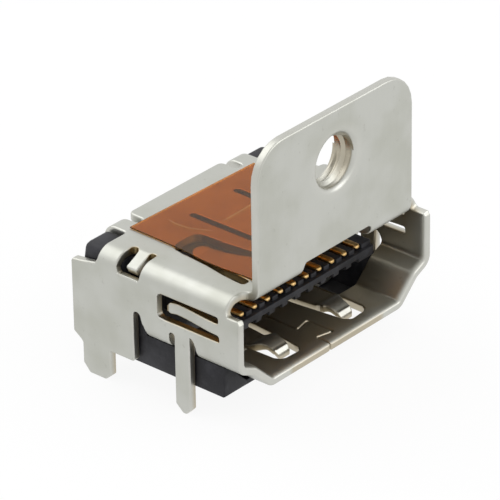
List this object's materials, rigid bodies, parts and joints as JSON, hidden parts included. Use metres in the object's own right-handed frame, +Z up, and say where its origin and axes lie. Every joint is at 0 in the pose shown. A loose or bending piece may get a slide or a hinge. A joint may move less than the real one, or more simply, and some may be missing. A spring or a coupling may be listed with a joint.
{
  "type": "hdmi socket",
  "caption": "Right-angle board socket for a video cable plug: folded sheet shell with a D-shaped mouth, spring fingers, board legs and an upright flange with a threaded collar.",
  "frame": {"origin": "on the board plane, at the underside of the insulator's rear body, on the centre plane, 8 mm behind the front edge of the mouth", "axes": "+X to the right seen from the mouth, +Y from the mouth to the rear, +Z up from the board"},
  "size_m": [0.015, 0.0117, 0.0153],
  "materials": {
    "sheet": "satin nickel plate",
    "insulator": "fine matte moulding",
    "gold": "bright gold plate",
    "tape": "glossy amber film"
  },
  "bodies": {
    "root": {"shell": "sheet", "housing": "insulator", "upper_contact_01": "gold", "upper_contact_02": "gold", "upper_contact_03": "gold", "upper_contact_04": "gold", "upper_contact_05": "gold", "upper_contact_06": "gold", "upper_contact_07": "gold", "upper_contact_08": "gold", "upper_contact_09": "gold", "upper_contact_10": "gold", "lower_contact_01": "gold", "lower_contact_02": "gold", "lower_contact_03": "gold", "lower_contact_04": "gold", "lower_contact_05": "gold", "lower_contact_06": "gold", "lower_contact_07": "gold", "lower_contact_08": "gold", "lower_contact_09": "gold", "cover_tape": "tape"}
  },
  "joints": []
}
